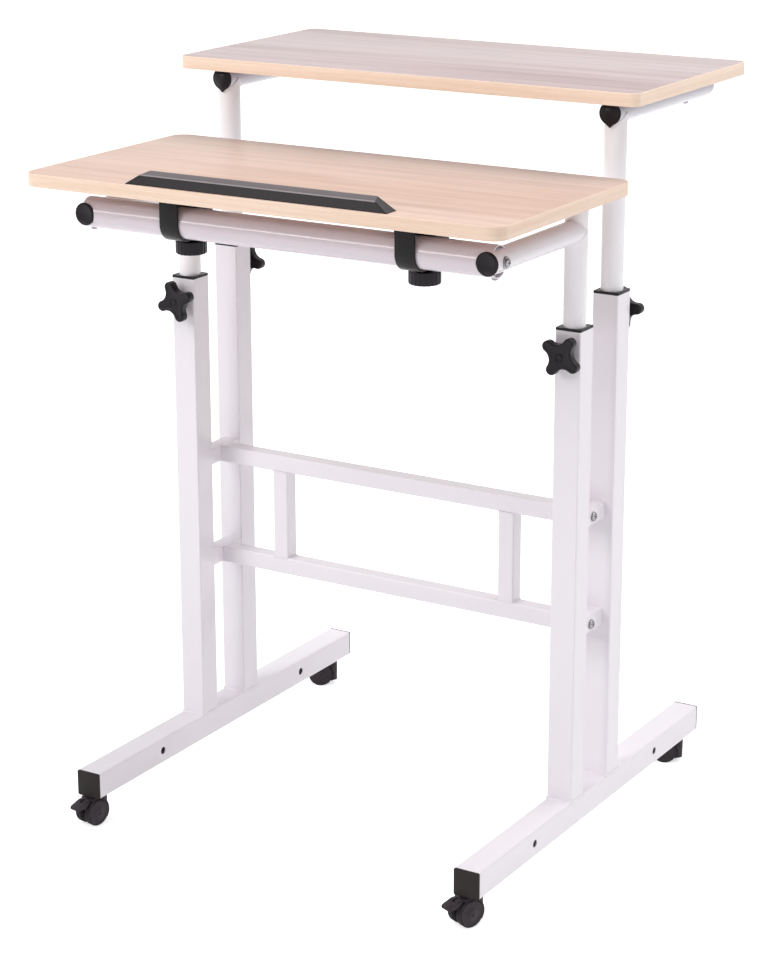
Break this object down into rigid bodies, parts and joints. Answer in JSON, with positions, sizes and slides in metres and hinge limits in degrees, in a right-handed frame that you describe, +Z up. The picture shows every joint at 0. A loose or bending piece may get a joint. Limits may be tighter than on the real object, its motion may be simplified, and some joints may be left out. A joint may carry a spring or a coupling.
{
  "type": "height-adjustable desk",
  "caption": "Mobile height-adjustable desk: a tilting front worktop with an edge stop and a higher rear shelf, on sliding posts with star knobs, casters below.",
  "frame": {"origin": "on the floor, under the middle of the box round the whole desk", "axes": "+X to the right and +Y to the back as seen by a person standing at the worktop, +Z up"},
  "size_m": [0.65, 0.642, 0.946],
  "materials": {
    "white_coat": "satin powder coat",
    "worktop_laminate": "light wood-grain laminate on particle board",
    "shelf_laminate": "light wood-grain laminate on particle board",
    "edge_band": "matte",
    "black_plastic": "moulded, slightly glossy",
    "black_rubber": "matte",
    "black_steel": "black coat",
    "zinc_steel": "bright zinc",
    "wheel_plastic": "moulded, glossy"
  },
  "bodies": {
    "base": {"left_foot": "white_coat", "right_foot": "white_coat", "front_left_upright": "white_coat", "front_right_upright": "white_coat", "rear_left_upright": "white_coat", "rear_right_upright": "white_coat", "side_spacers": "white_coat", "upper_rail": "white_coat", "lower_rail": "white_coat", "left_strut": "white_coat", "right_strut": "white_coat", "cross_frame_bolts": "zinc_steel", "foot_caps": "black_plastic", "upright_collars": "black_plastic", "weld_nuts": "zinc_steel", "caster_stems": "zinc_steel"},
    "front_carriage": {"front_left_post": "white_coat", "front_right_post": "white_coat", "left_arm": "white_coat", "right_arm": "white_coat", "cross_tube": "white_coat", "arm_caps": "black_plastic", "cross_tube_screws": "zinc_steel", "front_post_plugs": "black_plastic", "front_post_glides": "black_plastic"},
    "worktop": {"lower_board": "worktop_laminate", "lower_edge_band": "edge_band", "edge_stop": "black_rubber", "left_clamp_strap": "black_steel", "right_clamp_strap": "black_steel", "left_clamp_saddle": "black_plastic", "right_clamp_saddle": "black_plastic", "clamp_screws": "zinc_steel"},
    "rear_carriage": {"rear_left_post": "white_coat", "rear_right_post": "white_coat", "left_shelf_arm": "white_coat", "right_shelf_arm": "white_coat", "shelf_arm_caps": "black_plastic", "upper_board": "shelf_laminate", "upper_edge_band": "edge_band", "shelf_screws": "zinc_steel", "rear_post_glides": "black_plastic"},
    "left_clamp_knob": {"left_clamp_knob": "black_plastic"},
    "right_clamp_knob": {"right_clamp_knob": "black_plastic"},
    "front_left_star_knob": {"front_left_star_knob": "black_plastic"},
    "front_right_star_knob": {"front_right_star_knob": "black_plastic"},
    "rear_left_star_knob": {"rear_left_star_knob": "black_plastic"},
    "rear_right_star_knob": {"rear_right_star_knob": "black_plastic"},
    "front_left_caster": {"front_left_caster": "black_plastic"},
    "front_left_wheels": {"front_left_wheels": "wheel_plastic"},
    "front_left_brake": {"front_left_brake": "black_plastic"},
    "front_right_caster": {"front_right_caster": "black_plastic"},
    "front_right_wheels": {"front_right_wheels": "wheel_plastic"},
    "front_right_brake": {"front_right_brake": "black_plastic"},
    "rear_left_caster": {"rear_left_caster": "black_plastic"},
    "rear_left_wheels": {"rear_left_wheels": "wheel_plastic"},
    "rear_right_caster": {"rear_right_caster": "black_plastic"},
    "rear_right_wheels": {"rear_right_wheels": "wheel_plastic"}
  },
  "joints": [
    {"name": "worktop_height", "type": "slide", "parent": "base", "child": "front_carriage", "axis": [0, 0, 1], "range_m": [-0.095, 0.17]},
    {"name": "shelf_height", "type": "slide", "parent": "base", "child": "rear_carriage", "axis": [0, 0, 1], "range_m": [-0.19, 0.18]},
    {"name": "worktop_tilt", "type": "hinge", "parent": "front_carriage", "child": "worktop", "pos_m": [0, -0.2444, 0.7906], "axis": [1, 0, 0], "range_deg": [0, 60]},
    {"name": "left_clamp_knob_turn", "type": "hinge", "parent": "worktop", "child": "left_clamp_knob", "pos_m": [-0.1505, -0.2208, 0.7586], "axis": [0, 0, 1], "continuous": true},
    {"name": "right_clamp_knob_turn", "type": "hinge", "parent": "worktop", "child": "right_clamp_knob", "pos_m": [0.1735, -0.2208, 0.7586], "axis": [0, 0, 1], "continuous": true},
    {"name": "front_left_star_knob_turn", "type": "hinge", "parent": "base", "child": "front_left_star_knob", "pos_m": [-0.277, -0.0807, 0.646], "axis": [0, -1, 0], "continuous": true},
    {"name": "front_right_star_knob_turn", "type": "hinge", "parent": "base", "child": "front_right_star_knob", "pos_m": [0.277, -0.0807, 0.646], "axis": [0, -1, 0], "continuous": true},
    {"name": "rear_left_star_knob_turn", "type": "hinge", "parent": "base", "child": "rear_left_star_knob", "pos_m": [-0.277, 0.0817, 0.671], "axis": [0, 1, 0], "continuous": true},
    {"name": "rear_right_star_knob_turn", "type": "hinge", "parent": "base", "child": "rear_right_star_knob", "pos_m": [0.277, 0.0817, 0.671], "axis": [0, 1, 0], "continuous": true},
    {"name": "front_left_caster_swivel", "type": "hinge", "parent": "base", "child": "front_left_caster", "pos_m": [-0.277, -0.273, 0.033], "axis": [0, 0, 1], "continuous": true},
    {"name": "front_left_wheels_roll", "type": "hinge", "parent": "front_left_caster", "child": "front_left_wheels", "pos_m": [-0.27978, -0.28876, 0.0175], "axis": [0.9848, -0.1736, 0], "continuous": true},
    {"name": "front_left_brake_press", "type": "hinge", "parent": "front_left_caster", "child": "front_left_brake", "pos_m": [-0.28204, -0.30156, 0.0315], "axis": [0.9848, -0.1736, 0], "range_deg": [0, 14]},
    {"name": "front_right_caster_swivel", "type": "hinge", "parent": "base", "child": "front_right_caster", "pos_m": [0.277, -0.273, 0.033], "axis": [0, 0, 1], "continuous": true},
    {"name": "front_right_wheels_roll", "type": "hinge", "parent": "front_right_caster", "child": "front_right_wheels", "pos_m": [0.27075, -0.28773, 0.0175], "axis": [0.9205, -0.3907, 0], "continuous": true},
    {"name": "front_right_brake_press", "type": "hinge", "parent": "front_right_caster", "child": "front_right_brake", "pos_m": [0.26567, -0.29969, 0.0315], "axis": [0.9205, -0.3907, 0], "range_deg": [0, 14]},
    {"name": "rear_left_caster_swivel", "type": "hinge", "parent": "base", "child": "rear_left_caster", "pos_m": [-0.277, 0.283, 0.033], "axis": [0, 0, 1], "continuous": true},
    {"name": "rear_left_wheels_roll", "type": "hinge", "parent": "rear_left_caster", "child": "rear_left_wheels", "pos_m": [-0.29042, 0.27429, 0.0175], "axis": [0.5446, -0.8387, 0], "continuous": true},
    {"name": "rear_right_caster_swivel", "type": "hinge", "parent": "base", "child": "rear_right_caster", "pos_m": [0.277, 0.283, 0.033], "axis": [0, 0, 1], "continuous": true},
    {"name": "rear_right_wheels_roll", "type": "hinge", "parent": "rear_right_caster", "child": "rear_right_wheels", "pos_m": [0.26197, 0.27753, 0.0175], "axis": [0.342, -0.9397, 0], "continuous": true}
  ]
}
